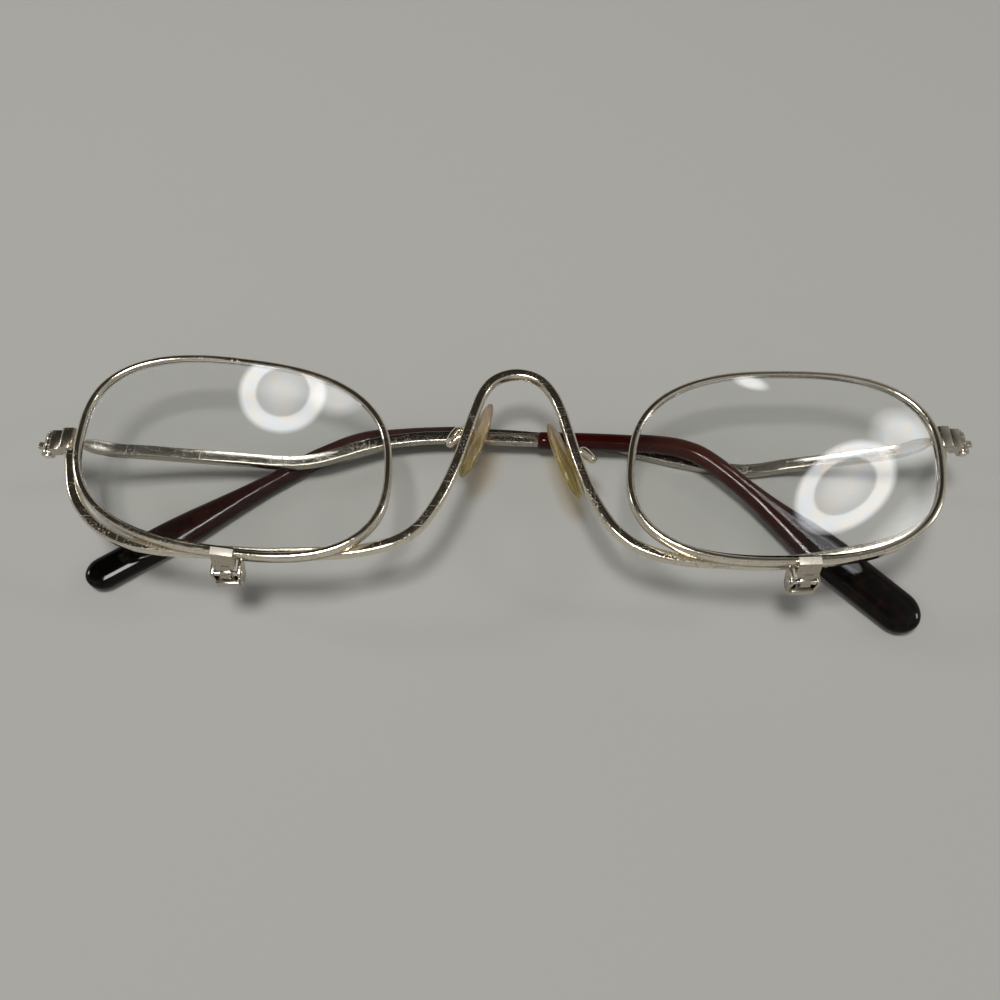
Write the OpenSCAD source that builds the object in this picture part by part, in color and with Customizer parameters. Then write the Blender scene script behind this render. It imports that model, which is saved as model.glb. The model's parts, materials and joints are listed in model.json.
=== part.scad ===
/* [Lenses] */
// Width of one lens, edge to edge in its rim
lens_w = 43.6; // [38:0.1:48]
// Height of one lens
lens_h = 30.5; // [27:0.1:34]
// Distance of the left lens's centre from the middle of the front
lens_x_left = 40.2; // [39:0.1:42]
// Distance of the right lens's centre from the middle of the front
lens_x_right = 39.6; // [38.4:0.1:42]
// Height of the left lens's centre over the front's level
lens_y_left = 0.4; // [-1:0.1:1]
// Height of the right lens's centre over the front's level
lens_y_right = -0.7; // [-1:0.1:1]
// Squareness of the lens outline, where 2 is an ellipse
lens_power = 2.6; // [2.2:0.1:3]
// How far the outline rises towards the temple side
lens_rise = 3.4; // [1:0.1:4]
// Roll of the left lens in its own plane, clockwise, in degrees
lens_roll_left = -0.9; // [-2:0.1:4]
// Roll of the right lens in its own plane, clockwise, in degrees
lens_roll_right = 8.3; // [4:0.1:9]
// Thickness of the lens at the ends of its outline, where it is thinnest
lens_edge = 0.75; // [0.7:0.05:0.9]
// Radius of the lens's front surface, with a flat back
lens_front_r = 200; // [180:10:400]

/* [Rims] */
// Width of the rim wire, seen from the front
rim_w = 1.05; // [0.9:0.05:1.2]
// Depth of the rim wire, front to back
rim_d = 1.8; // [1.6:0.1:2.2]
// Depth of the groove that holds the lens
groove_d = 0.3; // [0.2:0.05:0.4]
// Height of the rim's front face above the table
front_z = 14; // [14:0.1:16]

/* [Carrier wire] */
// Width of the carrier wire, seen from the front
wire_w = 1.55; // [1.4:0.05:1.8]
// Depth of the carrier wire, front to back
wire_d = 1.5; // [1.3:0.05:1.8]
// Gap between the carrier wire and the rims in front of it
rim_gap = 0.15; // [0.1:0.05:0.4]
// Height of the bridge's top above the front's level
bridge_h = 16; // [15:0.1:16.8]
// Distance of the bridge's top from the middle of the front
bridge_x = 0.9; // [0:0.1:1.2]
// Half width of the bridge arch, a little below its top
bridge_half = 5.35; // [4.6:0.05:6]

/* [Temple hinges] */
// Distance of the left hinge screw outside the left rim
rim_to_hinge_left = 5.25; // [5:0.05:7]
// Distance of the right hinge screw outside the right rim
rim_to_hinge_right = 5.45; // [5:0.05:7]
// Height of the left hinge above the front's level
hinge_y_left = 3.2; // [2.8:0.1:5]
// Height of the right hinge above the front's level
hinge_y_right = 4.8; // [2.8:0.1:5]
// Radius of the hinge knuckles
knuckle_r = 0.95; // [0.9:0.05:1.1]
// Length of the middle knuckle
knuckle_mid = 1; // [0.8:0.1:1.2]
// Length of each outer knuckle
knuckle_end = 1.1; // [0.9:0.1:1.4]
// Radius of the hinge screw
screw_r = 0.5; // [0.4:0.05:0.6]

/* [Temples] */
// Distance from the hinge screw to where the temple bends down
temple_straight = 96; // [92:1:102]
// Length of the left temple behind its bend
drop_left = 33.6; // [30:0.2:38]
// Length of the right temple behind its bend
drop_right = 32.2; // [30:0.2:38]
// Width of the temple bar's face
bar_w = 1.8; // [1.4:0.1:2]
// Thickness of the temple bar
bar_t = 1.3; // [1:0.05:1.3]
// Width of the tip sleeve where it starts
sleeve_w = 2.7; // [2.5:0.1:3]
// Thickness of the tip sleeve
sleeve_t = 2.5; // [2.3:0.1:2.7]
// Width of the left sleeve's paddle end
paddle_left = 6.9; // [4.5:0.1:7]
// Width of the right sleeve's paddle end
paddle_right = 5.2; // [4.5:0.1:7]
// Length of the left sleeve's straight part, before the bend
sleeve_left = 24.1; // [20:0.1:30]
// Length of the right sleeve's straight part, before the bend
sleeve_right = 24; // [18:0.1:30]

/* [Flip hinges] */
// Width of the flip hinge's clip
clip_w = 3.1; // [2.8:0.05:3.6]
// Thickness of the clip's and bracket's sheet metal
sheet_t = 0.4; // [0.35:0.05:0.5]
// Distance of the flip pin below the rim wire's middle
pin_drop = 1.9; // [1.9:0.05:2.4]
// Distance of the flip pin behind the rim's front face
pin_back = 3.3; // [3.3:0.1:3.6]
// Radius of the flip pin
pin_r = 0.35; // [0.3:0.05:0.4]
// Distance of the left clip's middle from the middle of the front
clip_x_left = 39.3; // [38:0.1:41]
// Distance of the right clip's middle from the middle of the front
clip_x_right = 40.1; // [39:0.1:42]

/* [Nose pads] */
// Length of a nose pad
pad_len = 13.7; // [12:0.1:15]
// Width of a nose pad
pad_w = 5.6; // [5:0.1:6.4]
// Thickness of a nose pad
pad_t = 2; // [1.6:0.1:2.4]
// Distance of the left pad's middle from the middle of the front
pad_x_left = 5.3; // [5.2:0.1:6.4]
// Distance of the right pad's middle from the middle of the front
pad_x_right = 7.9; // [6.6:0.1:8.4]
// Height of the left pad's middle above the front's level
pad_y_left = 6.2; // [5:0.1:7]
// Height of the right pad's middle above the front's level
pad_y_right = 2.8; // [2:0.1:4]
// Radius of the pad arm's wire
arm_r = 0.5; // [0.4:0.05:0.6]

/* [Hidden] */
NODES = ["carrier_wire",
    "end_block_left", "end_block_right", "front_hinge_left", "front_hinge_right",
    "hinge_screw_left", "hinge_screw_right",
    "temple_hinge_left", "temple_hinge_right", "temple_bar_left", "temple_bar_right",
    "temple_tip_left", "temple_tip_right",
    "flip_bracket_left", "flip_bracket_right", "flip_spring_left", "flip_spring_right",
    "flip_pin_left", "flip_pin_right", "flip_clip_left", "flip_clip_right",
    "lens_rim_left", "lens_rim_right", "lens_left", "lens_right",
    "pad_arm_left", "pad_arm_right", "pad_box_left", "pad_box_right",
    "pad_pin_left", "pad_pin_right", "nose_pad_left", "nose_pad_right"];
node = "all";

// Colours of the materials
gold = [0.84, 0.77, 0.63];
steel = [0.78, 0.76, 0.72];
tortoise = [0.35, 0.09, 0.06];
clear = [0.9, 0.95, 0.95, 0.35];
amber = [0.78, 0.72, 0.48, 0.7];

// A shaft's running clearance, a fixed fit's clearance, and how deep solder runs in
run_gap = 0.05;
fit_gap = 0.02;
solder = 0.1;
round_fn = 32;

// Outline of one lens, as the middle of its rim wire round the lens's own centre
rim_a = (lens_w + rim_w) / 2;
rim_b = (lens_h + rim_w) / 2;
rim_count = 64;
function oval_r(f) = pow(pow(abs(cos(f)) / rim_a, lens_power) + pow(abs(sin(f)) / rim_b, lens_power),
    -1 / lens_power);
function oval(f) = [oval_r(f) * cos(f), oval_r(f) * (sin(f) + lens_rise / rim_a * cos(f))];
function unit(v) = v / norm(v);
function out_of(t) = [t[1], -t[0]];
function oval_out(f) = unit(out_of(oval(f + 0.5) - oval(f - 0.5)));
function rim_point(f, off) = oval(f) + off * oval_out(f);
function of_side(side, left, right) = side < 0 ? left : right;
function lens_x(side) = of_side(side, -lens_x_left, lens_x_right);
function lens_y(side) = of_side(side, lens_y_left, lens_y_right);
function lens_roll(side) = of_side(side, lens_roll_left, lens_roll_right);

// The same outline in the front, with its slope
function rim_at(side, f, off = 0) = let (p = rim_point(f, off), a = lens_roll(side))
    [lens_x(side) + side * p[0] * cos(a) + p[1] * sin(a),
     lens_y(side) + p[1] * cos(a) - side * p[0] * sin(a)];
function rim_slope(side, f) = let (d = rim_at(side, f + 2) - rim_at(side, f - 2)) d[1] / d[0];

// Heights above the table
rim_back = front_z - rim_d;
wire_top = rim_back - rim_gap;
wire_mid = wire_top - wire_d / 2;

// A smooth curve through control points, with m steps between neighbours
function at(p, i) = p[max(0, min(len(p) - 1, i))];
function last(p) = p[len(p) - 1];
function curve_point(p, i, t) = 0.5 * (2 * at(p, i) + (at(p, i + 1) - at(p, i - 1)) * t
    + (2 * at(p, i - 1) - 5 * at(p, i) + 4 * at(p, i + 1) - at(p, i + 2)) * t * t
    + (3 * at(p, i) - at(p, i - 1) - 3 * at(p, i + 1) + at(p, i + 2)) * t * t * t);
function smooth(p, m) = concat([for (i = [0 : len(p) - 2], k = [0 : m - 1]) curve_point(p, i, k / m)],
    [last(p)]);

// Rings of a section swept along a path. A size is a width and a thickness, and the section's
// corners lie on a rounded rectangle, with flat sides above and below
function along(path, i) = unit(at(path, i + 1) - at(path, i - 1));
function side_of(path, i) = unit(cross([0, 0, 1], along(path, i)));
function up_of(path, i) = cross(along(path, i), side_of(path, i));
function corner(k, sides) = 360 * (k + 0.5) / sides;
function soft(v, power) = sign(v) * pow(abs(v), power);
function full(sides, power) = soft(cos(corner(0, sides)), power);
function section(size, sides, power) = [for (k = [0 : sides - 1])
    [size[0] / 2 * soft(cos(corner(k, sides)), power) / full(sides, power),
     size[1] / 2 * soft(sin(corner(k, sides)), power) / soft(sin(corner(floor(sides / 4), sides)), power)]];
function ring(path, i, size, sides, power, ahead = 0) = [for (q = section(size, sides, power))
    path[i] + along(path, i) * ahead + side_of(path, i) * q[0] + up_of(path, i) * q[1]];
function flat_list(rings) = [for (r = rings) each r];
function wall(rings, sides) = [for (i = [0 : rings - 2], k = [0 : sides - 1]) each
    [[i * sides + k, (i + 1) * sides + k, i * sides + (k + 1) % sides],
     [i * sides + (k + 1) % sides, (i + 1) * sides + k, (i + 1) * sides + (k + 1) % sides]]];
function fan(first, sides) = [for (k = [1 : sides - 2]) [first, first + k, first + k + 1]];
function flip(faces) = [for (f = faces) [f[0], f[2], f[1]]];
function shift(faces, by) = [for (f = faces) [for (v = f) v + by]];

// A closed solid with one ring of corners after another
module lofted(rings) {
    sides = len(rings[0]);
    polyhedron(flat_list(rings), concat(wall(len(rings), sides), fan(0, sides),
        flip(fan((len(rings) - 1) * sides, sides))));
}

// The same solid with a blind channel in it, which opens at the first ring
module lofted_hollow(outer, inner) {
    sides = len(outer[0]);
    n_out = len(outer) * sides;
    mouth = [for (k = [0 : sides - 1]) each
        [[k, (k + 1) % sides, n_out + k], [(k + 1) % sides, n_out + (k + 1) % sides, n_out + k]]];
    polyhedron(concat(flat_list(outer), flat_list(inner)),
        concat(wall(len(outer), sides), flip(fan(n_out - sides, sides)),
            flip(shift(wall(len(inner), sides), n_out)),
            fan(n_out + (len(inner) - 1) * sides, sides), mouth));
}

// A wire of one section along a path
module wire(path, size, sides, power = 1) {
    lofted([for (i = [0 : len(path) - 1]) ring(path, i, size, sides, power)]);
}

// The carrier wire's route on one side: bridge arch, leg, then behind the rim to the end block. The legs
// are bent by hand and differ, and so does the wire's distance outside each rim along the arc
nose_left = [[-bridge_x, bridge_h], [bridge_half - 3.05, bridge_h - 1], [bridge_half - 1, bridge_h - 3.5],
    [5.8, 8.3], [8, 0.6], [10.1, -4.9], [12.4, -9.2], [14.3, -11.3], [16.7, -12.8], [20.3, -13.9],
    [24.3, -14.5]];
nose_right = [[bridge_x, bridge_h], [bridge_half - 1.25, bridge_h - 1], [bridge_half + 0.9, bridge_h - 3.7],
    [7.7, 8.3], [9.55, 0.6], [11.3, -4.9], [13.4, -9.2], [15.2, -11.5], [17.3, -13.2], [20.6, -14.6],
    [24.3, -15.3]];
arc_left = [[242, -1.2], [270, -0.8], [285, -0.35], [300, 0.45], [315, 1.4], [330, 1.75], [350, 1.6]];
arc_right = [[242, -0.3], [270, -0.6], [290, -1.2], [305, -1.5], [320, -1.15], [340, 0.1], [350, 0.55]];
arc_in = 242;
arc_out = 350;
arc_steps = 9;
function nose_points(side) = of_side(side, nose_left, nose_right);
function arc_point(side, k) = let (f = arc_in + (arc_out - arc_in) * k / arc_steps,
    p = rim_at(side, f, lookup(f, of_side(side, arc_left, arc_right)))) [side * p[0], p[1]];
block_w = 2.2;
block_h = 3.6;
block_out = 2.1;
wire_under = 1.9;
function hinge_x(side) = abs(lens_x(side)) + lens_w / 2 + rim_w
    + of_side(side, rim_to_hinge_left, rim_to_hinge_right);
function hinge_y(side) = of_side(side, hinge_y_left, hinge_y_right);
function half_route(side) = concat(nose_points(side), [for (k = [0 : arc_steps]) arc_point(side, k)],
    [[hinge_x(side) - block_out - wire_under, hinge_y(side) - block_h / 2 + solder]]);
function full_route(left, right) = concat([for (i = [len(left) - 1 : -1 : 1]) [-left[i][0], left[i][1]]],
    right);
function lift(p, z) = [for (q = p) [q[0], q[1], z]];
carrier_path = lift(smooth(full_route(half_route(-1), half_route(1)), 3), wire_mid);
module carrier_wire() {
    color(gold) wire(carrier_path, [wire_w, wire_d], 10, 0.8);
}

// Temple hinges, drawn round the screw, which runs along Y, for the right side
block_top = wire_top + 0.4;
block_under = wire_mid - 0.7;
leaf_t = 0.7;
leaf_gap = 0.2;
hinge_z = block_under - leaf_gap - leaf_t / 2;
leaf_len = 5.7;
mid_half = knuckle_mid / 2;
end_half = mid_half + run_gap + knuckle_end;
tang_out = 1.7;
tang_t = 0.55;
head_r = 0.75;
head_h = 0.5;
screw_tail = 0.3;
slot_w = 0.25;
slot_deep = 0.2;
module on_side(side) {
    if (side < 0) mirror([1, 0, 0]) children();
    else children();
}
module hinge_place(side) {
    on_side(side) translate([hinge_x(side), hinge_y(side), hinge_z]) children();
}
module along_y(r, from, to) {
    translate([0, to, 0]) rotate([90, 0, 0]) cylinder(r = r, h = to - from, $fn = round_fn);
}
module end_block(side) {
    bevel = 0.4;
    low = block_under - hinge_z;
    high = block_top - hinge_z;
    color(gold) hinge_place(side) translate([-block_out - block_w / 2, block_h / 2, 0]) rotate([90, 0, 0])
        linear_extrude(block_h) polygon([[-block_w / 2, low], [block_w / 2, low],
            [block_w / 2, high - bevel], [block_w / 2 - bevel, high],
            [-block_w / 2 + bevel, high], [-block_w / 2, high - bevel]]);
}
module front_hinge(side) {
    web_out = 0.6;
    web_top = block_top - hinge_z - 0.6;
    slot_half = mid_half + run_gap;
    slot_top = knuckle_r + 0.1;
    color(gold) hinge_place(side) difference() {
        union() {
            translate([-block_out, -end_half, 0]) cube([block_out - web_out, 2 * end_half, web_top]);
            along_y(knuckle_r, -end_half, end_half);
        }
        translate([-block_out - 1, -slot_half, -knuckle_r - 1])
            cube([block_out + knuckle_r + 2, 2 * slot_half, knuckle_r + 1 + slot_top]);
        along_y(screw_r + fit_gap, -end_half - 1, end_half + 1);
    }
}
module hinge_screw(side) {
    color(steel) hinge_place(side) difference() {
        union() {
            along_y(screw_r, -end_half - screw_tail, end_half + solder);
            along_y(head_r, end_half + fit_gap, end_half + head_h);
        }
        translate([-slot_w / 2, end_half + head_h - slot_deep, -head_r - 1])
            cube([slot_w, 1, 2 * head_r + 2]);
    }
}
module temple_hinge(side) {
    color(gold) hinge_place(side) difference() {
        union() {
            along_y(knuckle_r, -mid_half, mid_half);
            translate([-leaf_len, -mid_half, -leaf_t / 2]) cube([leaf_len, knuckle_mid, leaf_t]);
            translate([0, -mid_half, -tang_t / 2]) cube([tang_out, knuckle_mid, tang_t]);
        }
        along_y(screw_r + run_gap, -mid_half - 1, mid_half + 1);
    }
}

// Temple routes from the hinge leaf to the tip. Each point holds its distance along X from the screw,
// its height over the lens centres and its height over the table. The right temple lies underneath
bar_start = 5.2;
low_z = sleeve_t / 2;
high_z = sleeve_t + 0.2 + bar_t / 2;
left_bend = 44;
right_bend = 34;
left_rest = [[bar_start, hinge_y_left, hinge_z], [9.4, 3.15, hinge_z - 1.8], [13.4, 3.5, 7.1],
    [20.4, 3.9, 5.3], [27, 4.05, high_z + 0.9], [33, 4.1, high_z + 0.2], [38, 4.8, high_z],
    [44.5, 7.1, high_z], [49.5, 8.5, high_z], [56, 9.3, high_z], [63.5, 9.3, high_z],
    [71.5, 9.2, high_z - 0.3], [82.5, 9, high_z - 0.4], [temple_straight - 5.5, 8.5, high_z - 0.4],
    [temple_straight + 0.5, 7.4, high_z - 0.4], [temple_straight + 5, 4.6, high_z - 0.5]];
right_rest = [[bar_start, hinge_y_right, hinge_z], [8.3, 4.45, hinge_z - 1.9], [11, 4.4, 6.9],
    [16, 4.8, 4.6], [24, 5.2, low_z + 0.5], [31, 4.8, low_z - 0.4], [40, 6.6, low_z - 0.5],
    [52, 9.7, low_z - 0.5], [62, 10.7, low_z - 0.3], [72, 11.2, low_z], [84, 10.8, low_z],
    [temple_straight - 4, 9.6, low_z], [temple_straight + 2, 6.8, low_z],
    [temple_straight + 5.5, 4.6, low_z]];
function drop_points(p, length, angle) = [for (k = [1 : 3])
    [last(p)[0] + length * k / 3 * cos(angle), last(p)[1] - length * k / 3 * sin(angle),
        last(p)[2] + (low_z - last(p)[2]) * k / 3]];
left_route = concat(left_rest, drop_points(left_rest, drop_left, left_bend));
right_route = concat(right_rest, drop_points(right_rest, drop_right, right_bend));
function placed(p, side) = [for (q = p) [side * (hinge_x(side) - q[0]), q[1], q[2]]];
route_steps = 3;
function route(side) = smooth(side < 0 ? left_route : right_route, route_steps);

// The bar widens from its hinge leaf, and thins to a core wire inside the sleeve
core_size = [1.3, 0.9];
core_gap = 0.05;
core_short = 3;
bar_widening = 0.6;
bar_sides = 8;
bar_soft = 0.7;
tip_sides = 12;
tip_soft = 0.75;
paddle_from = 0.62;
paddle_by = 0.26;
cap_turns = [35, 62, 80];
cap_soft = 0.4;
function mouth_at(side) = temple_straight - (side < 0 ? sleeve_left : sleeve_right);
function mouth_index(side) = len([for (q = route(side)) if (q[0] < mouth_at(side)) q]);
function bar_size(x) = [min(bar_w, knuckle_mid + (x - bar_start) * bar_widening), bar_t];
module temple_bar(side) {
    path = placed(route(side), side);
    mouth = mouth_index(side);
    core_end = len(path) - 1 - core_short;
    bar = [for (i = [0 : mouth])
        ring(path, i, bar_size(route(side)[i][0]), bar_sides, bar_soft, i < mouth ? 0 : -core_gap)];
    core = [for (i = [mouth : core_end])
        ring(path, i, core_size, bar_sides, bar_soft, i > mouth ? 0 : -core_gap)];
    color(gold) lofted(concat(bar, core));
}
function paddle_w(side) = of_side(side, paddle_left, paddle_right);
function eased(t) = let (u = max(0, min(1, t))) u * u * (3 - 2 * u);
function sleeve_width(side, t) = sleeve_w
    + (paddle_w(side) - sleeve_w) * eased((t - paddle_from) / paddle_by);
module temple_tip(side) {
    path = placed(route(side), side);
    mouth = mouth_index(side);
    end = len(path) - 1;
    outer = [for (i = [mouth : end])
        ring(path, i, [sleeve_width(side, (i - mouth) / (end - mouth)), sleeve_t], tip_sides, tip_soft)];
    cap = [for (a = cap_turns) ring(path, end, [paddle_w(side) * cos(a), sleeve_t * pow(cos(a), cap_soft)],
        tip_sides, tip_soft, paddle_w(side) / 2 * sin(a))];
    inner = [for (i = [mouth : end - core_short + 1])
        ring(path, i, core_size + [2 * core_gap, 2 * core_gap], tip_sides, tip_soft)];
    color(tortoise) lofted_hollow(concat(outer, cap), inner);
}

// Rims and lenses, drawn round the lens's own centre. The rim's section has a groove inside it
rim_profile = [[rim_w / 2, 0.15 - rim_d / 2], [rim_w / 2, rim_d / 2 - 0.15], [rim_w / 2 - 0.15, rim_d / 2],
    [-rim_w / 2, rim_d / 2], [-rim_w / 2, groove_d], [groove_d - rim_w / 2, 0], [-rim_w / 2, -groove_d],
    [-rim_w / 2, -rim_d / 2], [rim_w / 2 - 0.15, -rim_d / 2]];
function rim_ring(i) = let (f = 360 * i / rim_count, c = oval(f), n = oval_out(f))
    [for (q = rim_profile) [c[0] + n[0] * q[0], c[1] + n[1] * q[0], q[1]]];
module lens_place(side) {
    translate([lens_x(side), lens_y(side), front_z - rim_d / 2]) rotate([0, 0, -lens_roll(side)])
        on_side(side) children();
}
module lens_rim(side) {
    sides = len(rim_profile);
    faces = wall(rim_count + 1, sides);
    color(gold) lens_place(side) polyhedron(flat_list([for (i = [0 : rim_count - 1]) rim_ring(i)]),
        flip([for (f = faces) [for (v = f) v % (rim_count * sides)]]));
}
function sag(d) = lens_front_r - sqrt(lens_front_r * lens_front_r - d * d);
seat_gap = 0.04;
bevel_out = groove_d - 0.1;
bevel_half = 0.22;
lens_off = -rim_w / 2 - seat_gap;
lens_reach = max([for (i = [0 : rim_count - 1]) norm(rim_point(360 * i / rim_count, lens_off))]);
lens_front = lens_edge / 3;
lens_back = lens_front - lens_edge;
lens_shares = [1, 0.85, 0.65, 0.42, 0.2];
function lens_ring(z, off = 0) = [for (i = [0 : rim_count - 1])
    let (p = rim_point(360 * i / rim_count, lens_off + off)) [p[0], p[1], z]];
function dome_ring(share) = [for (i = [0 : rim_count - 1])
    let (p = share * rim_point(360 * i / rim_count, lens_off))
    [p[0], p[1], lens_front + sag(lens_reach) - sag(norm(p))]];
module lens_body(side) {
    color(clear) lens_place(side) lofted(concat([lens_ring(lens_back), lens_ring(-bevel_half),
        lens_ring(0, bevel_out), lens_ring(bevel_half)], [for (share = lens_shares) dome_ring(share)]));
}

// Flip hinges, drawn round the flip pin, which runs along X below the rim. Each clip follows the height
// and the slope of its own rim, and each bracket reaches up to the carrier wire
function clip_x(side) = of_side(side, -clip_x_left, clip_x_right);
function clip_angle(side) = 270 + side * atan((clip_x(side) - lens_x(side)) / rim_b + sin(lens_roll(side)));
function flip_y(side) = rim_at(side, clip_angle(side))[1] - pin_drop;
flip_z = front_z - pin_back;
barrel_r = 0.75;
barrel_half = 0.7;
clip_half = clip_w / 2;
cheek_gap = 0.06;
bracket_half = clip_half + cheek_gap + sheet_t;
seat = pin_drop - rim_w / 2 - fit_gap;
seat_low = pin_back - rim_d;
lip_short = 0.35;
lip_reach = pin_drop + rim_w / 2 - lip_short;
lip_low = pin_back + fit_gap;
lip_t = 0.5;
clip_top = lip_low + lip_t;
plate_out = seat - sheet_t;
plate_foot = [-0.4, 0.6];
plate_low = 1.6;
neck_low = 0.5;
neck_back = 0.3;
module flip_place(side) {
    translate([clip_x(side), flip_y(side), flip_z]) children();
}
module along_x(r, from, to) {
    translate([from, 0, 0]) rotate([0, 90, 0]) cylinder(r = r, h = to - from, $fn = round_fn);
}

// The clip's plate leans outwards as it comes down from the rim's slope, and ends in a narrower neck,
// set back from its face, that carries the level barrel
function plate_at(z) = plate_foot[0] + (plate_out - plate_foot[0]) * (z - neck_low) / (clip_top - neck_low);
function plate_ring(z, out, inner, tilt, half = clip_half) = [[-half, out - tilt, z], [half, out + tilt, z],
    [half, inner + tilt, z], [-half, inner - tilt, z]];
module flip_clip(side) {
    notch = [1.5, 0.45];
    notch_deep = 0.25;
    notch_cut = 2;
    slope = rim_slope(side, clip_angle(side));
    tilt = slope * clip_half;
    neck_tilt = slope * barrel_half;
    color(gold) flip_place(side) difference() {
        union() {
            along_x(barrel_r, -barrel_half, barrel_half);
            lofted([plate_ring(plate_low, plate_at(plate_low), seat, tilt),
                plate_ring(clip_top, plate_out, seat, tilt)]);
            lofted([plate_ring(neck_low, plate_foot[0] + neck_back, plate_foot[1], 0, barrel_half),
                plate_ring(seat_low, plate_at(seat_low) + neck_back, seat, neck_tilt, barrel_half),
                plate_ring(lip_low, plate_at(lip_low) + sheet_t / 2, seat, neck_tilt, barrel_half)]);
            lofted([for (z = [lip_low, clip_top]) plate_ring(z, plate_out, lip_reach, tilt)]);
            translate([-barrel_half, 0, 0]) cube([2 * barrel_half, plate_foot[1], barrel_r]);
        }
        along_x(pin_r + run_gap, -clip_half - 1, clip_half + 1);
        translate([-notch[0] / 2, plate_at(plate_low) + notch_deep - notch_cut, plate_low - solder])
            cube([notch[0], notch_cut, notch[1] + solder]);
    }
}
bracket_low = -2.1;
floor_t = 0.3;
floor_out = -0.65;
floor_in = 1;
lug_out = -1.1;
lug_top = -0.9;
cheek_out = -0.6;
wire_hold = 0.3;
function carrier_low(side) = lookup(abs(clip_x(side)), [for (k = [0 : 5]) arc_point(side, k)]) - wire_w / 2;
module flip_bracket(side) {
    wire_up = wire_mid - flip_z;
    hold = carrier_low(side) - flip_y(side) + wire_hold;
    cheek = [[floor_out, bracket_low], [floor_in, bracket_low], [hold, wire_up - wire_d / 2],
        [hold, wire_up + 0.3], [0.7, 0.95], [-0.4, 0.85], [cheek_out, 0.4], [cheek_out, -0.5]];
    color(gold) flip_place(side) difference() {
        union() {
            for (s = [-1, 1]) translate([s * (bracket_half - sheet_t / 2) - sheet_t / 2, 0, 0])
                rotate([90, 0, 90]) linear_extrude(sheet_t) polygon(cheek);
            translate([-bracket_half, floor_out, bracket_low])
                cube([2 * bracket_half, floor_in - floor_out, floor_t]);
            translate([-clip_half, lug_out, bracket_low])
                cube([clip_w, floor_out - lug_out + 0.1, floor_t]);
            translate([-clip_half, lug_out, bracket_low])
                cube([clip_w, floor_out - lug_out, lug_top - bracket_low]);
        }
        along_x(pin_r + fit_gap, -bracket_half - 1, bracket_half + 1);
    }
}

// The spring's leaf lies on the bracket's floor and arches up to the barrel
module flip_spring(side) {
    spring_w = 1.8;
    spring_t = 0.15;
    low = bracket_low + floor_t + fit_gap;
    arch = -barrel_r - cheek_gap - spring_t;
    leaf = [[floor_out, low], [-0.5, low], [-0.2, arch], [0.2, arch], [0.5, low], [floor_in, low]];
    color(steel) flip_place(side) translate([-spring_w / 2, 0, 0]) rotate([90, 0, 90])
        linear_extrude(spring_w) polygon(concat(leaf,
            [for (i = [len(leaf) - 1 : -1 : 0]) leaf[i] + [0, spring_t]]));
}
module flip_pin(side) {
    rivet_r = pin_r + 0.1;
    rivet_h = 0.15;
    color(steel) flip_place(side) union() {
        along_x(pin_r, -bracket_half - fit_gap - solder, bracket_half + fit_gap + solder);
        for (s = [0, 1]) mirror([s, 0, 0]) along_x(rivet_r, bracket_half + fit_gap, bracket_half + rivet_h);
    }
}

// Nose pads, drawn round the pad's own middle. X runs away from the nose, Y up the pad and Z to its
// front edge
pad_lean = 17;
pad_splay = 28;
pad_back = 6.1;
pad_z = front_z - pad_back;
box_len = 2.4;
box_wall = 0.35;
stem_half = 0.5;
stem_r = 0.6;
stem_len = 1.3;
pad_pin_r = 0.3;
box_off = pad_t / 2 + 0.9;
box_half_in = stem_half + 0.08;
box_half = box_half_in + box_wall;
box_front = -0.45;
box_inside = stem_r + 0.08;
box_back = box_inside + box_wall;
function pad_x(side) = of_side(side, pad_x_left, pad_x_right);
function pad_y(side) = of_side(side, pad_y_left, pad_y_right);
module pad_place(side) {
    on_side(side) translate([pad_x(side), pad_y(side), pad_z]) rotate([0, 0, pad_lean])
        rotate([0, -pad_splay, 0]) children();
}
pad_rings = 12;
pad_sides = 12;
pad_blunt = 0.12;
pad_taper = 0.2;
function pad_share(t) = max(pad_blunt, sqrt(max(0, 1 - pow(abs(2 * t - 1), 2.4))));
function pad_ring(t) = [for (k = [0 : pad_sides - 1]) let (a = corner(k, pad_sides), s = pad_share(t))
    [-s * pad_t / 2 * soft(cos(a), 0.8) / full(pad_sides, 0.8), pad_len * (t - 0.5),
        s * pad_w / 2 * sin(a) * (1 - pad_taper * (2 * t - 1))]];
module nose_pad(side) {
    color(amber) pad_place(side) difference() {
        union() {
            lofted([for (i = [0 : pad_rings]) pad_ring(i / pad_rings)]);
            translate([box_off - stem_len, -stem_r, -stem_half])
                cube([stem_len, 2 * stem_r, 2 * stem_half]);
            translate([box_off, 0, -stem_half]) cylinder(r = stem_r, h = 2 * stem_half, $fn = round_fn);
        }
        translate([box_off, 0, -stem_half - 1])
            cylinder(r = pad_pin_r + run_gap, h = 2 * stem_half + 2, $fn = round_fn);
    }
}
module pad_box(side) {
    color(gold) pad_place(side) translate([box_off, 0, 0]) difference() {
        translate([box_front, -box_len / 2, -box_half]) cube([box_back - box_front, box_len, 2 * box_half]);
        translate([box_front - 1, -box_len, -box_half_in])
            cube([box_inside - box_front + 1, 2 * box_len, 2 * box_half_in]);
        translate([0, 0, -box_half - 1])
            cylinder(r = pad_pin_r + fit_gap, h = 2 * box_half + 2, $fn = round_fn);
    }
}
module pad_pin(side) {
    pin_end = box_half + 0.15;
    color(steel) pad_place(side) translate([box_off, 0, -pin_end])
        cylinder(r = pad_pin_r, h = 2 * pin_end, $fn = round_fn);
}

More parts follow.
